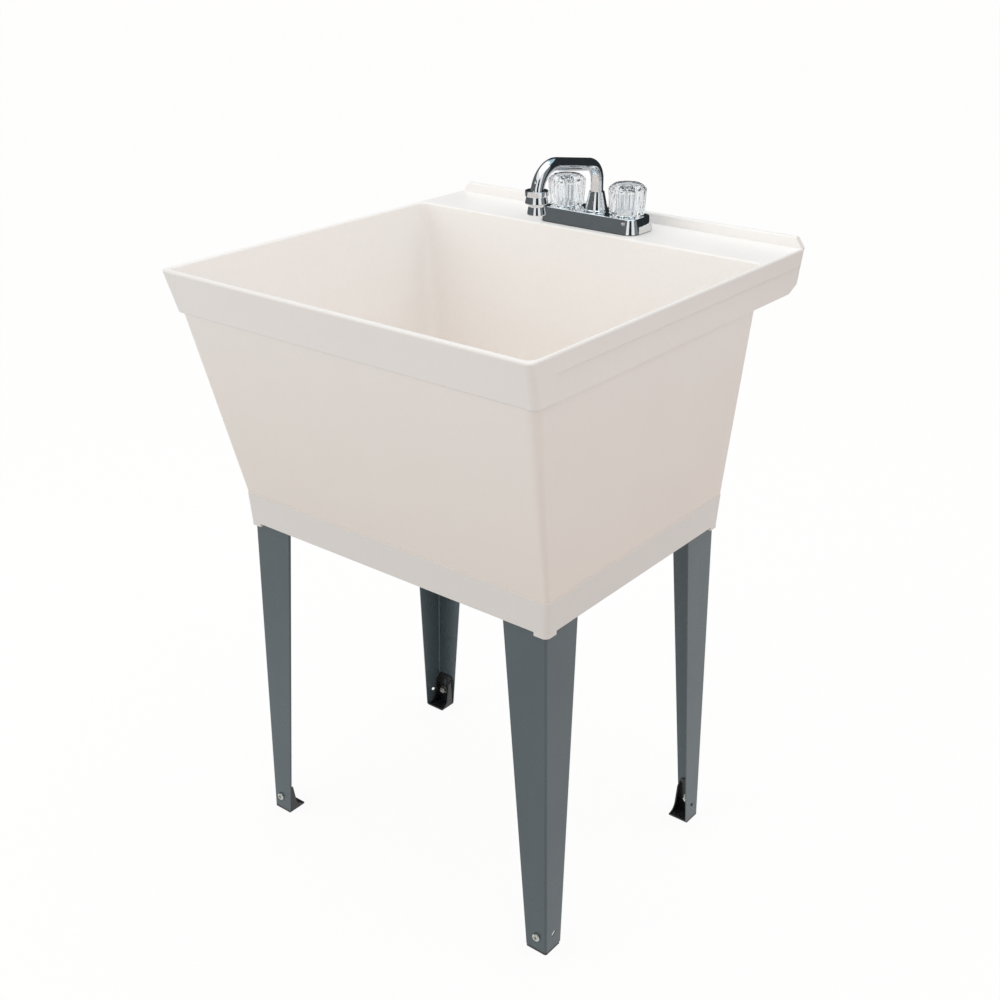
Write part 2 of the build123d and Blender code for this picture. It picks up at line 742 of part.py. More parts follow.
with BuildPart() as faucet_body:
    for side in (-1, 1):
        with Locations((side * handle_x, faucet_y, barrel_bottom)):
            Cylinder(
                barrel_diameter / 2,
                barrel_top - barrel_bottom,
                align=(Align.CENTER, Align.CENTER, Align.MIN),
            )
            Cylinder(
                neck_diameter / 2,
                neck_top - barrel_bottom,
                align=(Align.CENTER, Align.CENTER, Align.MIN),
            )
            Cylinder(
                shank_diameter / 2,
                barrel_bottom - shank_bottom - inlet_length,
                align=(Align.CENTER, Align.CENTER, Align.MAX),
            )
            Cylinder(
                inlet_diameter / 2,
                barrel_bottom - shank_bottom,
                align=(Align.CENTER, Align.CENTER, Align.MAX),
            )
    with Locations(Location((0, faucet_y, cross_z), (0, 90, 0))):
        Cylinder(cross_tube_diameter / 2, handle_spacing)
    with Locations((0, faucet_y, barrel_bottom)):
        Cylinder(
            boss_diameter / 2,
            boss_top - barrel_bottom,
            align=(Align.CENTER, Align.CENTER, Align.MIN),
        )
    # Waterways: up each shank, past the stems, along the cross tube and up the boss.
    for side in (-1, 1):
        with Locations((side * handle_x, faucet_y, stem_seat)):
            Cylinder(
                stem_diameter / 2 + bearing_play,
                neck_top - stem_seat,
                align=(Align.CENTER, Align.CENTER, Align.MIN),
                mode=Mode.SUBTRACT,
            )
            Cylinder(
                shank_bore / 2,
                stem_seat - shank_bottom,
                align=(Align.CENTER, Align.CENTER, Align.MAX),
                mode=Mode.SUBTRACT,
            )
    with Locations(Location((0, faucet_y, cross_z), (0, 90, 0))):
        Cylinder(
            cross_tube_bore / 2,
            handle_spacing - stem_diameter,
            mode=Mode.SUBTRACT,
        )
    with Locations((0, faucet_y, spout_tail_bottom)):
        Cylinder(
            spout_diameter / 2 + bearing_play,
            spout_tail_depth,
            align=(Align.CENTER, Align.CENTER, Align.MIN),
            mode=Mode.SUBTRACT,
        )
        Cylinder(
            spout_tail_bore / 2,
            spout_tail_bottom - cross_z,
            align=(Align.CENTER, Align.CENTER, Align.MAX),
            mode=Mode.SUBTRACT,
        )
    chamfer(faucet_body.edges().group_by(Axis.Z)[0].sort_by(SortBy.LENGTH)[-2:], nut_edge)

pieces["faucet_gasket"] = faucet_gasket
pieces["faucet_cover"] = faucet_cover
pieces["faucet_body"] = faucet_body

# ---------------------------------------------------------------- faucet: washers and nuts
deck_under = rim_height - deck_thickness

with BuildPart() as shank_washers:
    for side in (-1, 1):
        add(
            ring(
                shank_washer_diameter,
                shank_diameter + 2 * fit_play,
                deck_under - shank_washer_thickness,
                shank_washer_thickness,
                side * handle_x,
                faucet_y,
            )
        )
pieces["shank_washers"] = shank_washers

with BuildPart() as shank_nuts:
    for side in (-1, 1):
        add(
            hex_ring(
                shank_nut_across_flats,
                shank_diameter + 2 * thread_play,
                deck_under - shank_washer_thickness - shank_nut_height,
                shank_nut_height,
                side * handle_x,
                faucet_y,
            )
        )
pieces["shank_nuts"] = shank_nuts

bonnet_top = neck_top + fit_play + bonnet_lip

with BuildPart() as bonnet_nuts:
    for side in (-1, 1):
        add(
            hex_ring(
                bonnet_across_flats,
                neck_diameter + 2 * thread_play,
                cover_top,
                neck_top + fit_play - cover_top,
                side * handle_x,
                faucet_y,
            )
        )
        add(
            ring(
                bonnet_across_flats - 2 * nut_edge,
                stem_journal_diameter + 2 * bearing_play,
                neck_top + fit_play,
                bonnet_lip,
                side * handle_x,
                faucet_y,
            )
        )
pieces["bonnet_nuts"] = bonnet_nuts

# ---------------------------------------------------------------- faucet: stems and knobs
stem_bottom = stem_seat + stem_seal_thickness
stem_top = bonnet_top + stem_drive_length
drive_flat = stem_drive_diameter / 2 - stem_flat_depth
knob_bottom = cover_top + knob_gap
knob_top = knob_bottom + knob_height
knob_shoulder = knob_top - knob_crown_height
knob_socket_top = stem_top + knob_socket_play
knob_screw_seat = knob_top - knob_cap_recess
knob_lean = degrees(atan((knob_top_radius - knob_bottom_radius) / (knob_shoulder - knob_bottom)))

for name, side in (("hot", -1), ("cold", 1)):
    x = side * handle_x

    with BuildPart() as stem_seal:
        add(
            ring(
                stem_diameter,
                shank_bore - 2 * stem_seal_thickness,
                stem_seat + thread_play,
                stem_seal_thickness - thread_play,
                x,
                faucet_y,
            )
        )
    pieces[name + "_stem_seal"] = stem_seal

    # Valve stem: a barrel that turns in the body, a journal in the bonnet nut and a flatted drive.
    with BuildPart() as stem:
        add(
            turned(
                (
                    (0, stem_bottom),
                    (stem_diameter / 2, stem_bottom),
                    (stem_diameter / 2, neck_top - thread_play),
                    (stem_journal_diameter / 2, neck_top - thread_play),
                    (stem_journal_diameter / 2, bonnet_top + fit_play),
                    (0, bonnet_top + fit_play),
                ),
                x,
                faucet_y,
            )
        )
        with BuildSketch(Plane.XY.offset(bonnet_top)):
            with Locations((x, faucet_y)):
                Circle(stem_drive_diameter / 2)
            with Locations((x + drive_flat, faucet_y)):
                Rectangle(
                    stem_drive_diameter,
                    stem_drive_diameter,
                    align=(Align.MIN, Align.CENTER),
                    mode=Mode.SUBTRACT,
                )
        extrude(amount=stem_drive_length)
        # Waterway through the barrel and the tapped hole for the knob's screw.
        with Locations(Location((x, faucet_y, cross_z), (0, 90, 0))):
            Cylinder(cross_tube_bore / 2, 2 * stem_diameter, mode=Mode.SUBTRACT)
        with Locations((x, faucet_y, stem_top)):
            Cylinder(
                knob_screw_diameter / 2 + thread_play,
                knob_screw_length,
                align=(Align.CENTER, Align.CENTER, Align.MAX),
                mode=Mode.SUBTRACT,
            )
    pieces[name + "_stem"] = stem

    # Fluted knob with a hollow skirt, a flatted socket, a screw hole and a recess for the cap.
    with BuildPart() as knob:
        add(
            turned(
                (
                    (0, knob_bottom),
                    (knob_bottom_radius, knob_bottom),
                    (knob_top_radius, knob_shoulder),
                    (knob_crown_radius, knob_top),
                    (0, knob_top),
                ),
                x,
                faucet_y,
            )
        )
        with Locations((x, faucet_y, knob_bottom)):
            with PolarLocations(0, knob_flutes, start_angle=180 / knob_flutes):
                flute_reach = knob_bottom_radius + knob_flute_radius - knob_flute_depth
                with Locations(Location((flute_reach, 0, 0), (0, knob_lean, 0))):
                    Cylinder(knob_flute_radius, 3 * knob_height, mode=Mode.SUBTRACT)
        with Locations((x, faucet_y, knob_bottom)):
            Cylinder(
                knob_bottom_radius - knob_wall,
                knob_hollow_height,
                align=(Align.CENTER, Align.CENTER, Align.MIN),
                mode=Mode.SUBTRACT,
            )
        with BuildSketch(Plane.XY.offset(knob_socket_top)):
            with Locations((x, faucet_y)):
                Circle(stem_drive_diameter / 2 + knob_socket_play)
            with Locations((x + drive_flat + knob_socket_play, faucet_y)):
                Rectangle(
                    stem_drive_diameter,
                    2 * stem_drive_diameter,
                    align=(Align.MIN, Align.CENTER),
                    mode=Mode.SUBTRACT,
                )
        extrude(amount=-(knob_socket_top - knob_bottom), mode=Mode.SUBTRACT)
        with Locations((x, faucet_y, knob_top)):
            Cylinder(
                knob_screw_diameter / 2 + knob_socket_play,
                knob_height - knob_hollow_height,
                align=(Align.CENTER, Align.CENTER, Align.MAX),
                mode=Mode.SUBTRACT,
            )
            Cylinder(
                knob_cap_diameter / 2 + knob_cap_play,
                knob_cap_recess,
                align=(Align.CENTER, Align.CENTER, Align.MAX),
                mode=Mode.SUBTRACT,
            )
    pieces[name + "_knob"] = knob

    with BuildPart() as knob_screw:
        with Locations((x, faucet_y, knob_screw_seat)):
            Cylinder(
                knob_screw_diameter / 2,
                knob_screw_length,
                align=(Align.CENTER, Align.CENTER, Align.MAX),
            )
            Cylinder(
                knob_screw_head_diameter / 2,
                knob_screw_head_height,
                align=(Align.CENTER, Align.CENTER, Align.MIN),
            )
        fillet(knob_screw.edges().group_by(Axis.Z)[-1], screw_recess_depth / 2)
        with Locations((x, faucet_y, knob_screw_seat + knob_screw_head_height)):
            Box(
                screw_recess_width,
                screw_recess_length,
                2 * screw_recess_depth,
                mode=Mode.SUBTRACT,
            )
    pieces[name + "_knob_screw"] = knob_screw

    with BuildPart() as knob_cap:
        with Locations((x, faucet_y, knob_top)):
            Cylinder(
                knob_cap_diameter / 2,
                knob_cap_thickness,
                align=(Align.CENTER, Align.CENTER, Align.MAX),
            )
        chamfer(knob_cap.edges().group_by(Axis.Z)[-1], knob_cap_thickness / 4)
    pieces[name + "_knob_cap"] = knob_cap

# ---------------------------------------------------------------- spout
arch_z = rim_height + spout_arch_height
arch_rise = spout_reach * tan(radians(spout_arch_rise))
outlet_y = faucet_y - spout_reach
collar_bottom = rim_height + outlet_height
spout_end = collar_bottom + outlet_thread_depth
ring_bottom = boss_top + fit_play
ring_top = ring_bottom + retaining_ring_thickness
hub_shoulder = ring_top + fit_play
seal_groove_height = seal_section + fit_play
seal_levels = (
    spout_tail_bottom + seal_inset,
    spout_tail_bottom + seal_inset + seal_spacing,
)

with BuildPart() as spout:
    with BuildLine(Plane.YZ) as spout_line:
        FilletPolyline(
            (faucet_y, spout_tail_bottom),
            (faucet_y, arch_z),
            (outlet_y, arch_z + arch_rise),
            (outlet_y, spout_end),
            radius=[spout_rear_bend, spout_front_bend],
        )
    with BuildSketch(Plane.XY.offset(spout_tail_bottom)):
        with Locations((0, faucet_y)):
            Circle(spout_diameter / 2)
    sweep(path=spout_line.line)
    # Outlet collar.
    with Locations((0, outlet_y, collar_bottom)):
        Cylinder(
            outlet_collar_diameter / 2,
            outlet_collar_height,
            align=(Align.CENTER, Align.CENTER, Align.MIN),
        )
    collar_rims = spout.edges().filter_by(GeomType.CIRCLE).filter_by(
        lambda edge: abs(edge.radius - outlet_collar_diameter / 2) < same_size
    )
    chamfer(collar_rims, outlet_collar_edge)
    with BuildSketch(Plane.XY.offset(spout_tail_bottom)):
        with Locations((0, faucet_y)):
            Circle(spout_bore / 2)
    sweep(path=spout_line.line, mode=Mode.SUBTRACT)
    with Locations((0, outlet_y, collar_bottom)):
        Cylinder(
            outlet_thread_diameter / 2,
            outlet_thread_depth,
            align=(Align.CENTER, Align.CENTER, Align.MIN),
            mode=Mode.SUBTRACT,
        )
    # Thick tail with grooves for the seals and the retaining ring.
    add(ring(spout_bore, spout_tail_bore, spout_tail_bottom, spout_tail_depth, 0.0, faucet_y))
    for level in seal_levels:
        add(
            ring(
                spout_diameter + 2 * thread_play,
                spout_diameter - 2 * seal_section,
                level,
                seal_groove_height,
                0.0,
                faucet_y,
            ),
            mode=Mode.SUBTRACT,
        )
    add(
        ring(
            spout_diameter + 2 * thread_play,
            spout_diameter - 2 * spout_groove_depth,
            ring_bottom - thread_play,
            retaining_ring_thickness + 2 * thread_play,
            0.0,
            faucet_y,
        ),
        mode=Mode.SUBTRACT,
    )
pieces["spout"] = spout

with BuildPart() as spout_seals:
    for level in seal_levels:
        with Locations((0, faucet_y, level + seal_groove_height / 2)):
            Torus(
                spout_diameter / 2 + bearing_play - seal_play - seal_section / 2,
                seal_section / 2,
            )
pieces["spout_seals"] = spout_seals

with BuildPart() as spout_retaining_ring:
    add(
        ring(
            boss_diameter - 2 * thread_play,
            spout_diameter - 2 * spout_groove_depth + 2 * thread_play,
            ring_bottom,
            retaining_ring_thickness,
            0.0,
            faucet_y,
        )
    )
    with Locations((0, faucet_y, ring_bottom)):
        Box(
            retaining_ring_thickness,
            boss_diameter,
            4 * retaining_ring_thickness,
            align=(Align.CENTER, Align.MIN, Align.CENTER),
            mode=Mode.SUBTRACT,
        )
pieces["spout_retaining_ring"] = spout_retaining_ring

with BuildPart() as spout_hub_nut:
    add(
        turned(
            (
                (boss_diameter / 2 + thread_play, cover_top),
                (hub_base_diameter / 2, cover_top),
                (hub_base_diameter / 2, cover_top + hub_base_height / 2),
                (hub_base_diameter / 2 - hub_base_height / 2, cover_top + hub_base_height),
                (hub_top_diameter / 2, cover_top + hub_height),
                (spout_diameter / 2 + bearing_play, cover_top + hub_height),
                (spout_diameter / 2 + bearing_play, hub_shoulder),
                (boss_diameter / 2 + thread_play, hub_shoulder),
            ),
            0.0,
            faucet_y,
        )
    )
pieces["spout_hub_nut"] = spout_hub_nut

aerator_bottom = collar_bottom - aerator_groove_height - aerator_skirt
aerator_top = spout_end - aerator_washer_thickness
screen_bottom = aerator_bottom + aerator_lip

with BuildPart() as aerator_housing:
    add(
        turned(
            (
                (aerator_bore / 2 - aerator_lip, aerator_bottom),
                (aerator_diameter / 2 - aerator_lip, aerator_bottom),
                (aerator_diameter / 2, aerator_bottom + aerator_lip),
                (aerator_diameter / 2, collar_bottom - aerator_groove_height - aerator_lip),
                (aerator_diameter / 2 - aerator_lip, collar_bottom - aerator_groove_height),
                (aerator_groove_diameter / 2, collar_bottom - aerator_groove_height),
                (aerator_groove_diameter / 2, collar_bottom),
                (outlet_thread_diameter / 2 - thread_play, collar_bottom),
                (outlet_thread_diameter / 2 - thread_play, aerator_top),
                (aerator_bore / 2, aerator_top),
                (aerator_bore / 2, screen_bottom),
                (aerator_bore / 2 - aerator_lip, screen_bottom),
            ),
            0.0,
            outlet_y,
        )
    )
pieces["aerator_housing"] = aerator_housing

with BuildPart() as aerator_screen:
    with BuildSketch(Plane.XY.offset(screen_bottom)):
        with Locations((0, outlet_y)):
            Circle(aerator_bore / 2 - thread_play)
        with Locations((0, outlet_y)):
            with HexLocations(aerator_screen_pitch / 2, aerator_screen_rows, aerator_screen_rows):
                Circle(aerator_screen_hole / 2, mode=Mode.SUBTRACT)
    extrude(amount=aerator_screen_thickness)
pieces["aerator_screen"] = aerator_screen

with BuildPart() as aerator_washer:
    add(
        ring(
            outlet_thread_diameter - 2 * thread_play,
            spout_bore,
            aerator_top,
            aerator_washer_thickness,
            0.0,
            outlet_y,
        )
    )
pieces["aerator_washer"] = aerator_washer

# ---------------------------------------------------------------- drain
flange_under = floor_top - drain_dish_depth
flange_top = flange_under + drain_flange_thickness
boss_under = floor_under - drain_boss_drop
drain_bottom = flange_top - drain_length
throat_radius = drain_throat_diameter / 2
thread_radius = drain_thread_diameter / 2
cross_top = flange_top - stopper_height - 2 * fit_play

with BuildPart() as drain_body:
    add(
        turned(
            (
                (throat_radius, drain_bottom),
                (thread_radius, drain_bottom),
                (thread_radius, flange_under),
                (drain_flange_diameter / 2, flange_under),
                (drain_flange_diameter / 2, flange_under + drain_flange_thickness / 2),
                (thread_radius, flange_top),
                (stopper_top_diameter / 2 + fit_play, flange_top),
                (throat_radius, cross_top + fit_play),
            ),
            0.0,
            drain_y,
        )
    )
    with Locations((0, drain_y, cross_top)):
        Box(
            drain_throat_diameter + 2 * fit_play,
            drain_cross_width,
            drain_cross_depth,
            align=(Align.CENTER, Align.CENTER, Align.MAX),
        )
        Box(
            drain_cross_width,
            drain_throat_diameter + 2 * fit_play,
            drain_cross_depth,
            align=(Align.CENTER, Align.CENTER, Align.MAX),
        )
pieces["drain_body"] = drain_body

gasket_bottom = boss_under - drain_gasket_thickness
drain_washer_bottom = gasket_bottom - drain_washer_thickness
drain_nut_bottom = drain_washer_bottom - drain_nut_height
thread_bore = drain_thread_diameter + 2 * thread_play

with BuildPart() as drain_gasket:
    add(ring(drain_gasket_diameter, thread_bore, gasket_bottom, drain_gasket_thickness, 0.0, drain_y))
pieces["drain_gasket"] = drain_gasket

with BuildPart() as drain_friction_washer:
    add(
        ring(
            drain_gasket_diameter - 2 * drain_washer_thickness,
            thread_bore,
            drain_washer_bottom,
            drain_washer_thickness,
            0.0,
            drain_y,
        )
    )
pieces["drain_friction_washer"] = drain_friction_washer

with BuildPart() as drain_locknut:
    add(
        hex_ring(
            drain_nut_across_flats,
            thread_bore,
            drain_nut_bottom,
            drain_nut_height,
            0.0,
            drain_y,
        )
    )
pieces["drain_locknut"] = drain_locknut

# The tailpiece hangs by its flange under the body, held by the slip nut and its washer.
tailpiece_top = drain_bottom
tailpiece_radius = tailpiece_diameter / 2
slip_washer_top = tailpiece_top - tailpiece_flange_thickness
slip_lip_top = slip_washer_top - slip_washer_thickness
slip_nut_bottom = slip_lip_top - slip_nut_lip

with BuildPart() as tailpiece:
    add(
        turned(
            (
                (tailpiece_radius - tailpiece_wall, tailpiece_top - tailpiece_length),
                (tailpiece_radius, tailpiece_top - tailpiece_length),
                (tailpiece_radius, slip_nut_bottom),
                (tailpiece_neck_diameter / 2, slip_nut_bottom),
                (tailpiece_neck_diameter / 2, tailpiece_top - tailpiece_flange_thickness),
                (thread_radius - fit_play, tailpiece_top - tailpiece_flange_thickness),
                (thread_radius - fit_play, tailpiece_top),
                (tailpiece_radius - tailpiece_wall, tailpiece_top),
            ),
            0.0,
            drain_y,
        )
    )
pieces["drain_tailpiece"] = tailpiece

with BuildPart() as slip_washer:
    add(
        ring(
            drain_thread_diameter - 2 * fit_play,
            tailpiece_diameter + 2 * thread_play,
            slip_lip_top,
            slip_washer_thickness,
            0.0,
            drain_y,
        )
    )
pieces["drain_slip_washer"] = slip_washer

with BuildPart() as slip_nut:
    add(
        hex_ring(
            slip_nut_across_flats,
            thread_bore,
            slip_lip_top,
            slip_nut_height - slip_nut_lip,
            0.0,
            drain_y,
        )
    )
    add(
        ring(
            slip_nut_across_flats,
            tailpiece_diameter + 2 * fit_play,
            slip_nut_bottom,
            slip_nut_lip,
            0.0,
            drain_y,
        )
    )
pieces["drain_slip_nut"] = slip_nut

# Rubber plug that stands on the cross in the drain's throat.
stopper_bottom = cross_top + fit_play
stopper_top = stopper_bottom + stopper_height
grip_radius = stopper_grip_diameter / 2
neck_radius = stopper_neck_diameter / 2

with BuildPart() as drain_stopper:
    add(
        turned(
            (
                (0, stopper_bottom),
                (stopper_bottom_diameter / 2, stopper_bottom),
                (stopper_top_diameter / 2, stopper_top),
                (stopper_top_diameter / 2, stopper_top + stopper_head_height / 2),
                (grip_radius, stopper_top + stopper_head_height),
                (neck_radius, stopper_top + stopper_head_height),
                (neck_radius, stopper_top + stopper_head_height + stopper_grip_height / 3),
                (grip_radius, stopper_top + stopper_head_height + stopper_grip_height / 2),
                (grip_radius, stopper_top + stopper_head_height + stopper_grip_height),
                (0, stopper_top + stopper_head_height + stopper_grip_height),
            ),
            0.0,
            drain_y,
        )
    )
pieces["drain_stopper"] = drain_stopper

# ---------------------------------------------------------------- one file for each piece
for name, piece in pieces.items():
    piece.part.label = name
    export_step(piece.part, f"parts/{name}.step")
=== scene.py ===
import json
from math import cos, pi, radians, sin, sqrt, tan

import bmesh
import bpy
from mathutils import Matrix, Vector


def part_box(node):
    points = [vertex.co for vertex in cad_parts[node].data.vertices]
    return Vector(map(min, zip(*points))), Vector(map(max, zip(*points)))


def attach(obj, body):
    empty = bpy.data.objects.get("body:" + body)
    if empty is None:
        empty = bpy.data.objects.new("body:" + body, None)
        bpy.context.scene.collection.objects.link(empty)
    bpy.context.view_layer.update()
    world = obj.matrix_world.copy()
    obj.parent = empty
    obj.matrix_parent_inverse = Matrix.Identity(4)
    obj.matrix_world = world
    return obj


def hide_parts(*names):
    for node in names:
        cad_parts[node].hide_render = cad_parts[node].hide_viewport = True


# A free-standing utility laundry sink. Metres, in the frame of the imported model: the origin is on
# the floor under the middle of the tub, +Z is up and the front of the tub faces -Y.

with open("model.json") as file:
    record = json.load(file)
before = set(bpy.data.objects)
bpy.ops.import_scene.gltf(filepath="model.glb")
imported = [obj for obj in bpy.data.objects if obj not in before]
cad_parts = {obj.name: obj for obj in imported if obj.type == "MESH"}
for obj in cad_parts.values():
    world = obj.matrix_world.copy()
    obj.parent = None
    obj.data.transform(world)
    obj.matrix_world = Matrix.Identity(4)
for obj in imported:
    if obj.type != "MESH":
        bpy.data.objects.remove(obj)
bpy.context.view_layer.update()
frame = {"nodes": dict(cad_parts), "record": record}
nodes = frame["nodes"]

HANDLES = ("hot", "cold")
MM = 0.001
UP = Vector((0.0, 0.0, 1.0))
RIGHT = Vector((1.0, 0.0, 0.0))

# ---------------------------------------------------------------- camera
CAMERA_AZIMUTH = 38.47
CAMERA_ELEVATION = 24.79
CAMERA_DISTANCE = 1.950
CAMERA_TARGET = Vector((-0.0262, 0.0498, 0.4887))
FOCAL_PIXELS = 1365.0        # focal length in pixels of an image 1000 pixels wide
IMAGE_PIXELS = 1000.0
SENSOR_WIDTH = 36.0
CLIP_NEAR = 0.05
CLIP_FAR = 100.0


def direction(azimuth, elevation):
    """Unit vector from the object towards a viewer: azimuth 0 is at -Y and 90 at +X, in degrees."""
    a, e = radians(azimuth), radians(elevation)
    return Vector((sin(a) * cos(e), -cos(a) * cos(e), sin(e)))


def add_camera():
    """Camera at the place and with the focal length of the photo's."""
    data = bpy.data.cameras.new("camera")
    camera = bpy.data.objects.new("camera", data)
    bpy.context.scene.collection.objects.link(camera)
    back = direction(CAMERA_AZIMUTH, CAMERA_ELEVATION)
    camera.location = CAMERA_TARGET + back * CAMERA_DISTANCE
    camera.rotation_euler = (-back).to_track_quat("-Z", "Y").to_euler()
    data.sensor_width = SENSOR_WIDTH
    data.lens = FOCAL_PIXELS * SENSOR_WIDTH / IMAGE_PIXELS
    data.clip_start = CLIP_NEAR
    data.clip_end = CLIP_FAR
    bpy.context.scene.camera = camera
    bpy.context.scene.view_settings.view_transform = "Standard"


# ---------------------------------------------------------------- finishes
def srgb(red, green, blue):
    """Linear colour from 8-bit screen values."""
    values = [v / 255 for v in (red, green, blue)]
    linear = [v / 12.92 if v <= 0.04045 else ((v + 0.055) / 1.055) ** 2.4 for v in values]
    return (*linear, 1.0)


BASE_TOP = 533.0 * MM        # heights at which the tub's tone, with its painted light and shade, changes
BAND_BOTTOM = 797.0 * MM
EDGE_BLUR = 1.5 * MM         # to either side of such a height
OUTWARD_BLUR = 0.02          # metres out from the axis, over which facing in turns to facing out

SOCKETS = {
    "metallic": "Metallic",
    "specular": "Specular IOR Level",
    "ior": "IOR",
    "transmission": "Transmission Weight",
}


def color_mix(tree, factor, first, second):
    """Colour between two colours or colour outputs."""
    node = tree.nodes.new("ShaderNodeMix")
    node.data_type = "RGBA"
    tree.links.new(factor, node.inputs["Factor"])
    sockets = [s for s in node.inputs if s.type == "RGBA"]
    for value, socket in zip((first, second), sockets):
        if isinstance(value, tuple):
            socket.default_value = value
        else:
            tree.links.new(value, socket)
    return [s for s in node.outputs if s.type == "RGBA"][0]


class Finish:
    """A node material for a surface, with its colour, roughness and relief varied by noise."""

    def __init__(self, name, **sockets):
        self.material = bpy.data.materials.new(name)
        self.material.use_nodes = True
        self.tree = self.material.node_tree
        self.shader = self.tree.nodes["Principled BSDF"]
        for socket, value in sockets.items():
            self.shader.inputs[SOCKETS[socket]].default_value = value
        place = self.tree.nodes.new("ShaderNodeTexCoord")
        self.place = place.outputs["Object"]
        self.normal = place.outputs["Normal"]
        self.bumped = None

    def link(self, source, target):
        self.tree.links.new(source, target)

    def stretched(self, stretch):
        """Object coordinates scaled along each axis."""
        mapping = self.tree.nodes.new("ShaderNodeMapping")
        mapping.inputs["Scale"].default_value = stretch
        self.link(self.place, mapping.inputs["Vector"])
        return mapping.outputs["Vector"]

    def noise(self, scale, detail=3.0, stretch=None, low=0.0, high=1.0, start=0.3, end=0.7):
        """Noise spread over the range from low to high; scale is in features per metre."""
        texture = self.tree.nodes.new("ShaderNodeTexNoise")
        texture.inputs["Scale"].default_value = scale
        texture.inputs["Detail"].default_value = detail
        source = self.place if stretch is None else self.stretched(stretch)
        self.link(source, texture.inputs["Vector"])
        return self.spread(texture.outputs["Fac"], start, end, low, high)

    def spread(self, value, start, end, low=0.0, high=1.0):
        """A value between start and end spread over the range from low to high."""
        spread = self.tree.nodes.new("ShaderNodeMapRange")
        spread.inputs["From Min"].default_value = start
        spread.inputs["From Max"].default_value = end
        spread.inputs["To Min"].default_value = low
        spread.inputs["To Max"].default_value = high
        self.link(value, spread.inputs["Value"])
        return spread.outputs["Result"]

    def height(self):
        """Height of the point above the floor."""
        split = self.tree.nodes.new("ShaderNodeSeparateXYZ")
        self.link(self.place, split.inputs["Vector"])
        return split.outputs["Z"]

    def facing_out(self):
        """1 where the surface faces away from the upright axis of the part, 0 where it faces it."""
        flat = self.stretched((1.0, 1.0, 0.0))
        dot = self.tree.nodes.new("ShaderNodeVectorMath")
        dot.operation = "DOT_PRODUCT"
        self.link(flat, dot.inputs[0])
        self.link(self.normal, dot.inputs[1])
        return self.spread(dot.outputs["Value"], 0.0, OUTWARD_BLUR)

    def mix(self, factor, first, second):
        return color_mix(self.tree, factor, first, second)

    def color(self, output):
        self.link(output, self.shader.inputs["Base Color"])

    def roughness(self, output):
        self.link(output, self.shader.inputs["Roughness"])

    def relief(self, height, depth):
        """Bump of a given depth in metres, on top of any that is there already."""
        bump = self.tree.nodes.new("ShaderNodeBump")
        bump.inputs["Distance"].default_value = depth
        self.link(height, bump.inputs["Height"])
        if self.bumped is not None:
            self.link(self.bumped, bump.inputs["Normal"])
        self.bumped = bump.outputs["Normal"]
        self.link(self.bumped, self.shader.inputs["Normal"])


def tub_plastic():
    """Satin off-white moulding, warmer on its single wall and greyer at the band and the base.

    The wall's warmth is painted light shining through the single wall, and its darkening low down is
    painted shade;
    the base's darker grey is painted shade near the floor. The inside is paler than the outside as
    painted light.
    Fine grain, soft waves and a few dark specks lie over all.
    """
    f = Finish("tub_plastic_moulded", specular=0.4)
    above_base = f.spread(f.height(), BASE_TOP - EDGE_BLUR, BASE_TOP + EDGE_BLUR)
    up_wall = f.spread(f.height(), BASE_TOP, BAND_BOTTOM)
    in_band = f.spread(f.height(), BAND_BOTTOM - EDGE_BLUR, BAND_BOTTOM + EDGE_BLUR)
    # Outer wall: warm tint as painted light shining through the single wall, darker towards the base as
    # painted shade.
    wall = f.mix(up_wall, srgb(232, 226, 220), srgb(240, 236, 233))
    outside = f.mix(in_band, wall, srgb(238, 236, 234))
    # Base: greyer, darker colour as painted shade near the floor.
    outside = f.mix(above_base, srgb(222, 220, 218), outside)
    # Inside: paler than the outside as painted light, a little warmer lower down.
    inside = f.mix(up_wall, srgb(251, 245, 239), srgb(249, 247, 245))
    body = f.mix(f.facing_out(), inside, outside)
    body = f.mix(f.noise(160.0, 4.0, low=0.0, high=0.08), body, srgb(226, 222, 217))
    specks = f.noise(330.0, 2.0, start=0.80, end=0.84, high=0.35)
    f.color(f.mix(specks, body, srgb(120, 104, 90)))
    f.roughness(f.noise(9.0, 3.0, low=0.34, high=0.44))
    f.relief(f.noise(11.0, 2.0, stretch=(1.0, 1.0, 0.45)), 0.0007)
    f.relief(f.noise(900.0, 3.0), 0.00004)
    return f.material


def leg_paint():
    """Grey baked paint on sheet steel, with a little orange peel and faint rolling marks."""
    f = Finish("leg_paint_baked", specular=0.5)
    tone = f.noise(6.0, 3.0, stretch=(1.0, 1.0, 0.3))
    f.color(f.mix(tone, srgb(80, 94, 100), srgb(70, 84, 90)))
    f.roughness(f.noise(14.0, 3.0, low=0.24, high=0.32))
    f.relief(f.noise(420.0, 2.0), 0.00004)
    f.relief(f.noise(30.0, 2.0, stretch=(1.0, 1.0, 0.12)), 0.0001)
    return f.material


def black_paint():
    """Glossy black dip paint, its tone and gloss varied by noise."""
    f = Finish("black_paint_dipped", specular=0.5)
    f.color(f.mix(f.noise(60.0), srgb(26, 27, 29), srgb(36, 37, 40)))
    f.roughness(f.noise(70.0, low=0.18, high=0.34))
    f.relief(f.noise(260.0, 3.0), 0.00008)
    return f.material


def plated(name, first, second, low, high, grain, depth):
    """Bright plated or bare metal."""
    f = Finish(name, metallic=1.0)
    f.color(f.mix(f.noise(45.0), first, second))
    f.roughness(f.noise(120.0, low=low, high=high))
    f.relief(f.noise(grain, 2.0), depth)
    return f.material


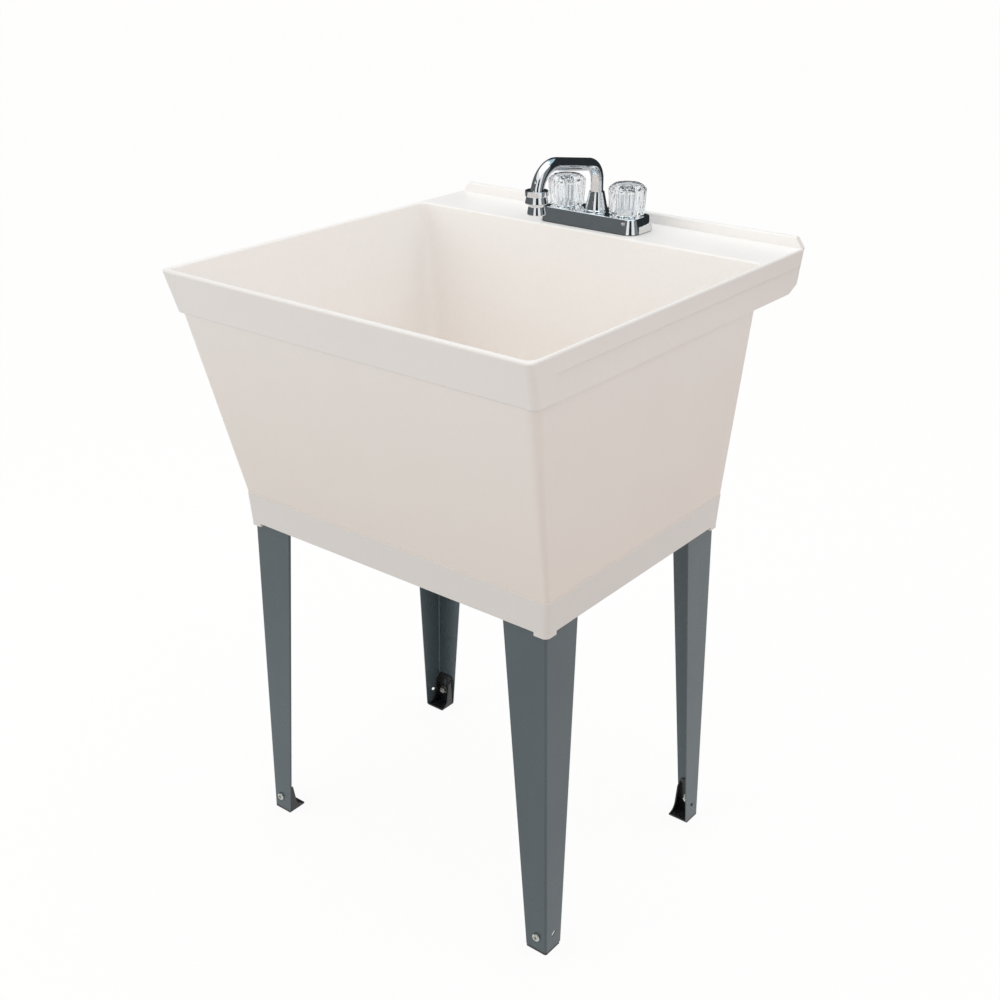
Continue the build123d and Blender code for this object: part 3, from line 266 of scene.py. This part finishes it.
def white_nylon():
    """Moulded nylon with a faint grain."""
    f = Finish("white_nylon_moulded")
    f.color(f.mix(f.noise(40.0), srgb(236, 236, 232), srgb(226, 226, 220)))
    f.roughness(f.noise(90.0, low=0.36, high=0.5))
    f.relief(f.noise(700.0), 0.00005)
    return f.material


def black_rubber():
    """Matt rubber with a dusty bloom."""
    f = Finish("black_rubber_matt")
    f.color(f.mix(f.noise(60.0, 5.0), srgb(38, 38, 39), srgb(58, 57, 56)))
    f.roughness(f.noise(150.0, low=0.62, high=0.82))
    f.relief(f.noise(800.0, 4.0), 0.00008)
    return f.material


def clear_acrylic():
    """Clear moulded acrylic with slight flow marks."""
    f = Finish("clear_acrylic_moulded", transmission=0.96, ior=1.49)
    f.color(f.mix(f.noise(60.0), srgb(252, 253, 254), srgb(246, 249, 251)))
    f.roughness(f.noise(80.0, low=0.03, high=0.09))
    f.relief(f.noise(90.0, 2.0, stretch=(1.0, 1.0, 0.3)), 0.0002)
    return f.material


def index_plastic():
    """Glossy pale disc in the top of each knob."""
    f = Finish("index_plastic_glossy")
    f.color(f.mix(f.noise(200.0), srgb(222, 226, 229), srgb(208, 213, 217)))
    f.roughness(f.noise(160.0, low=0.12, high=0.22))
    f.relief(f.noise(400.0), 0.00003)
    return f.material


FINISHES = {
    "tub_plastic": tub_plastic(),
    "leg_paint": leg_paint(),
    "black_paint": black_paint(),
    "zinc_steel": plated(
        "zinc_plate", srgb(205, 205, 198), srgb(188, 189, 184), 0.22, 0.4, 500.0, 0.00004
    ),
    "chrome": plated(
        "chrome_plate", srgb(228, 230, 232), srgb(221, 224, 227), 0.03, 0.07, 60.0, 0.00003
    ),
    "brass": plated("brass_cast", srgb(196, 164, 98), srgb(176, 143, 82), 0.28, 0.45, 350.0, 0.0001),
    "stainless_steel": plated(
        "stainless_pressed", srgb(200, 201, 202), srgb(186, 188, 190), 0.18, 0.3, 300.0, 0.00003
    ),
    "white_nylon": white_nylon(),
    "black_rubber": black_rubber(),
    "clear_acrylic": clear_acrylic(),
    "index_plastic": index_plastic(),
}


def dress_nodes():
    """Gives every node of the frame the finish that its slot names."""
    slot_of = {s["node"]: s["material_slot"] for s in frame["record"]["subparts"]}
    for name, node in nodes.items():
        for slot in node.material_slots:
            slot.material = FINISHES[slot_of[name]]


# ---------------------------------------------------------------- shapes
SHARP_ANGLE = 24.0           # degrees between faces, from which their edge shows
THREAD_SHARP_ANGLE = 32.0


def add_piece(name, mesh, body, slot, replaced=None, sharp_angle=SHARP_ANGLE):
    """Object for a mesh: it rides on a body, has a slot's finish and may stand for a CAD node."""
    piece = bpy.data.objects.new(name, mesh)
    bpy.context.scene.collection.objects.link(piece)
    mesh.materials.append(FINISHES[slot])
    mesh.shade_smooth()
    mesh.set_sharp_from_angle(angle=radians(sharp_angle))
    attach(piece, body)
    if replaced:
        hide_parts(replaced)


def turn(steps):
    """Equally spaced angles of a full turn."""
    return [2 * pi * i / steps for i in range(steps)]


def add_rings(bm, rings, closed_profile=False):
    """Skin over equal closed rings of points, capped at both ends or joined from last to first."""
    rows = [[bm.verts.new(p) for p in ring] for ring in rings]
    count = len(rows[0])
    pairs = list(zip(rows, rows[1:]))
    if closed_profile:
        pairs.append((rows[-1], rows[0]))
    for lower, upper in pairs:
        for i in range(count):
            k = (i + 1) % count
            bm.faces.new((lower[i], lower[k], upper[k], upper[i]))
    if not closed_profile:
        bm.faces.new(list(reversed(rows[0])))
        bm.faces.new(rows[-1])


def finished_mesh(bm, name):
    """Mesh of the faces made so far, which are turned to face outwards."""
    bmesh.ops.recalc_face_normals(bm, faces=bm.faces)
    mesh = bpy.data.meshes.new(name)
    bm.to_mesh(mesh)
    bm.free()
    return mesh


# ---------------------------------------------------------------- knobs
KNOB_FLUTES = 12
KNOB_STEPS = 16              # points round each flute
FLUTE_RADIUS = 4.2 * MM
FLUTE_DEPTH = 1.9 * MM
FLUTE_SOFTNESS = 0.5 * MM    # rounding of the ridges between the flutes
KNOB_FACETS = 24             # sparkling facets of the knob's inside
FACET_DEPTH = 0.9 * MM
KNOB_CROWN_HEIGHT = 6.5 * MM
KNOB_CROWN_RADIUS = 19.0 * MM
KNOB_FLARE = 2.0 * MM        # from the foot out to the shoulder
KNOB_EDGE = 0.7 * MM
KNOB_CAVITY = (19.4 * MM, 16.0 * MM, 29.0 * MM)   # radius below and above, height
KNOB_POST_RADIUS = 7.2 * MM
KNOB_SOCKET = (4.15 * MM, 29.2 * MM)              # radius, height
KNOB_SCREW_HOLE = 2.15 * MM
KNOB_CAP_RECESS = (8.62 * MM, 8.0 * MM)           # radius, depth
KNOB_POST_LIFT = 1.0 * MM    # of the post's lower end above the knob's


def soft_lower(first, second, softness):
    """The lower of two lengths, with the corner between them rounded."""
    gap = max(softness - abs(first - second), 0.0) / softness
    return min(first, second) - gap * gap * softness / 4


def plain(radius, angle, depth):
    """Radius of a round outline."""
    return radius


def fluted(radius, angle, depth):
    """Radius of an outline with shallow round flutes."""
    pitch = 2 * pi / KNOB_FLUTES
    offset = (angle + pitch / 2) % pitch - pitch / 2
    reach = radius + FLUTE_RADIUS - depth
    side = reach * sin(offset)
    if abs(side) >= FLUTE_RADIUS:
        return radius
    return soft_lower(radius, reach * cos(offset) - sqrt(FLUTE_RADIUS**2 - side**2), FLUTE_SOFTNESS)


def faceted(radius, angle, depth):
    """Radius of an outline of sharp ridges and valleys."""
    share = (angle * KNOB_FACETS / (2 * pi)) % 1.0
    return radius - depth * (1.0 - abs(2.0 * share - 1.0))


def add_knob(handle):
    """Clear knob: fluted outside, bevelled crown, recess for the cap, faceted hollow round a post."""
    low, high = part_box(handle + "_knob")
    centre_x, centre_y = (low.x + high.x) / 2, (low.y + high.y) / 2
    bottom, top = low.z, high.z
    wide = (high.x - low.x) / 2
    foot_radius = wide - KNOB_FLARE
    shoulder = top - KNOB_CROWN_HEIGHT
    cavity_low, cavity_high, cavity_height = KNOB_CAVITY
    socket_radius, socket_height = KNOB_SOCKET
    recess_radius, recess_depth = KNOB_CAP_RECESS
    post_bottom = bottom + KNOB_POST_LIFT
    crown_radius, crown_z = (wide + KNOB_CROWN_RADIUS) / 2, (shoulder + top + KNOB_EDGE) / 2
    corner = 0.4 * KNOB_EDGE
    profile = (
        (plain, socket_radius, post_bottom, 0.0),
        (plain, KNOB_POST_RADIUS, post_bottom, 0.0),
        (plain, KNOB_POST_RADIUS, bottom + cavity_height, 0.0),
        (faceted, cavity_high, bottom + cavity_height, FACET_DEPTH),
        (faceted, cavity_low, bottom + KNOB_EDGE, FACET_DEPTH),
        (plain, cavity_low + KNOB_EDGE, bottom, 0.0),
        (fluted, foot_radius - KNOB_EDGE, bottom, FLUTE_DEPTH),
        (fluted, foot_radius, bottom + KNOB_EDGE, FLUTE_DEPTH),
        (fluted, wide, shoulder - KNOB_EDGE, FLUTE_DEPTH),
        (fluted, wide - 0.3 * KNOB_EDGE, shoulder, FLUTE_DEPTH),
        (fluted, crown_radius, crown_z, FLUTE_DEPTH / 2),
        (plain, KNOB_CROWN_RADIUS, top - corner, 0.0),
        (plain, KNOB_CROWN_RADIUS - 1.5 * KNOB_EDGE, top, 0.0),
        (plain, recess_radius + corner, top, 0.0),
        (plain, recess_radius, top - corner, 0.0),
        (plain, recess_radius, top - recess_depth, 0.0),
        (plain, KNOB_SCREW_HOLE, top - recess_depth, 0.0),
        (plain, KNOB_SCREW_HOLE, bottom + socket_height, 0.0),
        (plain, socket_radius, bottom + socket_height, 0.0),
    )
    angles = turn(KNOB_FLUTES * KNOB_STEPS)
    rings = []
    for outline, radius, z, depth in profile:
        reach = [outline(radius, a, depth) for a in angles]
        rings.append([(centre_x + r * cos(a), centre_y + r * sin(a), z) for r, a in zip(reach, angles)])
    bm = bmesh.new()
    add_rings(bm, rings, closed_profile=True)
    mesh = finished_mesh(bm, handle + "_knob_acrylic")
    add_piece(mesh.name, mesh, handle + "_handle", "clear_acrylic", handle + "_knob")


# ---------------------------------------------------------------- spout
SPOUT_RADIUS = 8.75 * MM
SPOUT_CORNERS = (                 # y and z of the corners of its middle line
    (232.5 * MM, 938.5 * MM),
    (94.0 * MM, 960.4 * MM),
)
SPOUT_END = 916.5 * MM
SPOUT_BENDS = (24.0 * MM, 36.5 * MM)
SPOUT_STEPS = 64                  # points round the tube, the collar and the aerator
BEND_STEPS = 20
# Profiles of radii and heights in mm, from the inside outwards and up.
COLLAR_PROFILE = (
    (11.7, 916.5), (11.7, 909.0), (14.4, 909.0), (15.1, 909.3), (15.5, 910.0), (15.4, 910.6),
    (13.8, 918.2), (13.8, 918.5), (15.3, 918.8), (15.5, 919.2), (15.5, 925.4), (15.3, 925.8),
    (14.9, 926.0), (8.2, 926.0), (8.2, 916.5),
)
AERATOR_PROFILE = (
    (7.8, 894.1), (11.6, 894.1), (12.4, 894.4), (12.7, 895.2), (12.65, 896.0), (10.9, 904.6),
    (10.6, 905.2), (10.6, 909.0), (11.6, 909.0), (11.6, 915.3), (9.0, 915.3), (9.0, 895.3), (7.8, 895.3),
)


def bent_line(points, radii, steps):
    """Points of a line through corners that are rounded to the given radii."""
    line = [points[0]]
    for before, corner, after, radius in zip(points, points[1:], points[2:], radii):
        back, ahead = (before - corner).normalized(), (after - corner).normalized()
        half = back.angle(ahead) / 2
        middle = corner + (back + ahead).normalized() * radius / sin(half)
        start = corner + back * radius / tan(half) - middle
        end = corner + ahead * radius / tan(half) - middle
        for i in range(steps + 1):
            line.append(middle + start.slerp(end, i / steps) * radius)
    return line + [points[-1]]


def tube_rings(line, radius, steps):
    """Rings round a line that lies in a plane across X."""
    rings = []
    for i, point in enumerate(line):
        run = (line[min(i + 1, len(line) - 1)] - line[max(i - 1, 0)]).normalized()
        across = RIGHT.cross(run)
        rings.append([point + (RIGHT * cos(a) + across * sin(a)) * radius for a in turn(steps)])
    return rings


def turned_rings(profile, centre_y, steps):
    """Rings of a profile of radii and heights in mm, turned about an upright axis."""
    return [
        [Vector((r * MM * cos(a), centre_y + r * MM * sin(a), z * MM)) for a in turn(steps)]
        for r, z in profile
    ]


def add_spout():
    """Swept tube with a waisted collar at its outlet, and the aerator screwed into the collar."""
    low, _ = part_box("spout")
    (rear_y, rear_z), (outlet_y, front_z) = SPOUT_CORNERS
    corners = [(rear_y, low.z), (rear_y, rear_z), (outlet_y, front_z), (outlet_y, SPOUT_END)]
    line = bent_line([Vector((0.0, y, z)) for y, z in corners], SPOUT_BENDS, BEND_STEPS)
    bm = bmesh.new()
    add_rings(bm, tube_rings(line, SPOUT_RADIUS, SPOUT_STEPS))
    add_rings(bm, turned_rings(COLLAR_PROFILE, outlet_y, SPOUT_STEPS), closed_profile=True)
    mesh = finished_mesh(bm, "spout_chrome")
    add_piece("spout_chrome", mesh, "spout_arm", "chrome", "spout")
    bm = bmesh.new()
    add_rings(bm, turned_rings(AERATOR_PROFILE, outlet_y, SPOUT_STEPS), closed_profile=True)
    mesh = finished_mesh(bm, "aerator_chrome")
    add_piece("aerator_chrome", mesh, "spout_arm", "chrome", "aerator_housing")


# ---------------------------------------------------------------- threads
SHANK_INSET = 12.0 * MM       # from the end of the faucet body to the middle of a shank
SHANK_RADIUS = 10.9 * MM
INLET_RADIUS = 10.45 * MM
INLET_LENGTH = 34.0 * MM
SHANK_THREAD = (1.8 * MM, 0.45 * MM, 24)      # pitch, depth, points in a turn
DRAIN_RADIUS = 23.5 * MM
DRAIN_THREAD = (2.3 * MM, 0.6 * MM, 48)
THREAD_LEAD = 1.0 * MM        # plain length at a thread's lower end
THREAD_FADE = 0.25            # turns over which a ridge fades at either end
THREAD_PROUD = 0.02           # share of the depth by which a faded ridge still stands out
THREAD_ROOT = 0.2             # share of the depth by which a ridge is sunk
THREAD_HALF_WIDTH = 0.42      # share of the pitch


def add_thread(bm, centre, radius, start, end, thread):
    """Helical ridge of triangular section round an upright cylinder, fading at both ends."""
    pitch, depth, steps = thread
    turns = (end - start) / pitch
    count = round(turns * steps)
    foot = radius - depth * THREAD_ROOT
    rings = []
    for i in range(count + 1):
        share = i / count
        angle = 2 * pi * turns * share
        fade = min(1.0, turns * share / THREAD_FADE, turns * (1.0 - share) / THREAD_FADE)
        outward = Vector((cos(angle), sin(angle), 0.0))
        middle = centre + UP * (start + (end - start) * share)
        side = UP * pitch * THREAD_HALF_WIDTH
        root = middle + outward * foot
        crest = middle + outward * (radius + depth * (fade + THREAD_PROUD))
        rings.append([root - side, crest, root + side])
    add_rings(bm, rings)


def add_threads():
    """Threads of the faucet's shanks, with the narrower inlets at their ends, and of the drain body."""
    low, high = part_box("faucet_body")
    _, nuts_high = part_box("shank_nuts")
    inlet_top = low.z + INLET_LENGTH
    bm = bmesh.new()
    for x in (low.x + SHANK_INSET, high.x - SHANK_INSET):
        centre = Vector((x, (low.y + high.y) / 2, 0.0))
        add_thread(bm, centre, INLET_RADIUS, low.z + THREAD_LEAD, inlet_top, SHANK_THREAD)
        add_thread(bm, centre, SHANK_RADIUS, inlet_top, nuts_high.z, SHANK_THREAD)
    mesh = finished_mesh(bm, "shank_threads")
    add_piece("shank_threads", mesh, "sink", "brass", sharp_angle=THREAD_SHARP_ANGLE)
    low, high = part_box("drain_body")
    _, nut_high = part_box("drain_locknut")
    centre = Vector(((low.x + high.x) / 2, (low.y + high.y) / 2, 0.0))
    bm = bmesh.new()
    add_thread(bm, centre, DRAIN_RADIUS, low.z + THREAD_LEAD, nut_high.z, DRAIN_THREAD)
    mesh = finished_mesh(bm, "drain_thread")
    add_piece("drain_thread", mesh, "sink", "stainless_steel", sharp_angle=THREAD_SHARP_ANGLE)


# ---------------------------------------------------------------- floor, background and lights
WHITE = (1.0, 1.0, 1.0, 1.0)
ROOM_LIGHT = (1.0, 0.915, 0.87, 1.0)
ROOM_STRENGTH = 0.92
FLOOR_SIZE = 60.0
FLOOR_SEEN_SHARE = 0.92      # plain white in what the camera sees of the floor
FLOOR_LIT_TONE = srgb(206, 206, 206)
FLOOR_SEEN_TONE = srgb(253, 253, 253)
FLOOR_ROUGHNESS = 0.9
FLOOR_CLEARANCE = 0.02       # of the flats above the floor
FLAT_RADIUS = 2.6
FLAT_STEP = 3.0              # degrees from one upright edge of a flat to the next
FLATS = (                    # name, first and last azimuth, top and tone
    ("flat_front_left", -140.0, 0.0, 3.2, srgb(100, 104, 106)),
    ("flat_soft_box_front", 0.0, 30.0, 3.0, srgb(255, 255, 255)),
    ("flat_front", 30.0, 58.0, 3.2, srgb(44, 48, 50)),
    ("flat_soft_box_right", 58.0, 88.0, 3.0, srgb(255, 255, 255)),
    ("flat_right", 88.0, 125.0, 3.2, srgb(128, 136, 138)),
    ("flat_back", 125.0, 220.0, 6.0, srgb(46, 50, 52)),
)
LAMPS = (                    # name, place, target, size, power and tone
    ("top_lamp", (0.1, 0.3, 2.6), (0.0, 0.1, 0.6), (2.4, 2.4), 13.5, (0.6, 0.86, 1.0)),
    ("left_lamp", (-1.5, -2.4, 1.7), (0.0, 0.0, 0.55), (1.6, 1.8), 12.0, (0.8, 1.0, 1.0)),
)


def ray_switch(tree):
    """1 for rays that see the background straight, in a reflection or through glass."""
    path = tree.nodes.new("ShaderNodeLightPath")
    total = path.outputs["Is Camera Ray"]
    for other in ("Is Glossy Ray", "Is Transmission Ray"):
        add = tree.nodes.new("ShaderNodeMath")
        add.operation = "MAXIMUM"
        tree.links.new(total, add.inputs[0])
        tree.links.new(path.outputs[other], add.inputs[1])
        total = add.outputs["Value"]
    return total


def add_world():
    """Room that lights the object softly and shows as plain white."""
    world = bpy.data.worlds.new("studio")
    world.use_nodes = True
    bpy.context.scene.world = world
    tree = world.node_tree
    output = tree.nodes["World Output"]
    light = tree.nodes["Background"]
    light.inputs["Color"].default_value = ROOM_LIGHT
    light.inputs["Strength"].default_value = ROOM_STRENGTH
    seen = tree.nodes.new("ShaderNodeBackground")
    seen.inputs["Color"].default_value = WHITE
    seen.inputs["Strength"].default_value = 1.0
    mix = tree.nodes.new("ShaderNodeMixShader")
    tree.links.new(ray_switch(tree), mix.inputs["Fac"])
    tree.links.new(light.outputs["Background"], mix.inputs[1])
    tree.links.new(seen.outputs["Background"], mix.inputs[2])
    tree.links.new(mix.outputs["Shader"], output.inputs["Surface"])


def add_floor():
    """Pale floor: grey for the light that it throws back, near white as the camera sees it.

    A share of what the camera sees is plain white and the rest keeps the shadows.
    """
    mesh = bpy.data.meshes.new("floor")
    half = FLOOR_SIZE / 2
    corners = [(-half, -half, 0.0), (half, -half, 0.0), (half, half, 0.0), (-half, half, 0.0)]
    mesh.from_pydata(corners, [], [(0, 1, 2, 3)])
    floor = bpy.data.objects.new("floor", mesh)
    bpy.context.scene.collection.objects.link(floor)
    material = bpy.data.materials.new("floor_white")
    material.use_nodes = True
    tree = material.node_tree
    shader = tree.nodes["Principled BSDF"]
    tone = color_mix(tree, ray_switch(tree), FLOOR_LIT_TONE, FLOOR_SEEN_TONE)
    tree.links.new(tone, shader.inputs["Base Color"])
    shader.inputs["Roughness"].default_value = FLOOR_ROUGHNESS
    shader.inputs["Specular IOR Level"].default_value = 0.0
    glow = tree.nodes.new("ShaderNodeEmission")
    glow.inputs["Color"].default_value = WHITE
    glow.inputs["Strength"].default_value = 1.0
    share = tree.nodes.new("ShaderNodeMath")
    share.operation = "MULTIPLY"
    share.inputs[1].default_value = FLOOR_SEEN_SHARE
    tree.links.new(ray_switch(tree), share.inputs[0])
    mix = tree.nodes.new("ShaderNodeMixShader")
    tree.links.new(share.outputs["Value"], mix.inputs["Fac"])
    tree.links.new(shader.outputs["BSDF"], mix.inputs[1])
    tree.links.new(glow.outputs["Emission"], mix.inputs[2])
    tree.links.new(mix.outputs["Shader"], tree.nodes["Material Output"].inputs["Surface"])
    mesh.materials.append(material)


def add_lamp(name, place, target, size, power, tone):
    """Soft rectangular lamp that faces its target."""
    data = bpy.data.lights.new(name, "AREA")
    data.color = tone
    data.shape = "RECTANGLE"
    data.size, data.size_y = size
    data.energy = power
    lamp = bpy.data.objects.new(name, data)
    bpy.context.scene.collection.objects.link(lamp)
    lamp.location = place
    lamp.rotation_euler = (Vector(target) - Vector(place)).to_track_quat("-Z", "Y").to_euler()


def add_flat(name, first, last, top, tone):
    """Curved studio flat around the object, between two azimuths, seen in reflections alone."""
    steps = max(1, round((last - first) / FLAT_STEP))
    feet = [direction(first + (last - first) * i / steps, 0.0) * FLAT_RADIUS for i in range(steps + 1)]
    corners = [(p.x, p.y, z) for p in feet for z in (FLOOR_CLEARANCE, top)]
    faces = [(2 * i, 2 * i + 2, 2 * i + 3, 2 * i + 1) for i in range(steps)]
    mesh = bpy.data.meshes.new(name)
    mesh.from_pydata(corners, [], faces)
    flat = bpy.data.objects.new(name, mesh)
    bpy.context.scene.collection.objects.link(flat)
    material = bpy.data.materials.new(name)
    material.use_nodes = True
    tree = material.node_tree
    glow = tree.nodes.new("ShaderNodeEmission")
    glow.inputs["Color"].default_value = tone
    glow.inputs["Strength"].default_value = 1.0
    tree.links.new(glow.outputs["Emission"], tree.nodes["Material Output"].inputs["Surface"])
    mesh.materials.append(material)
    flat.visible_camera = False
    flat.visible_diffuse = False
    flat.visible_transmission = False
    flat.visible_shadow = False


add_camera()
dress_nodes()
for handle in HANDLES:
    add_knob(handle)
add_spout()
add_threads()
add_world()
add_floor()
for lamp in LAMPS:
    add_lamp(*lamp)
for flat in FLATS:
    add_flat(*flat)
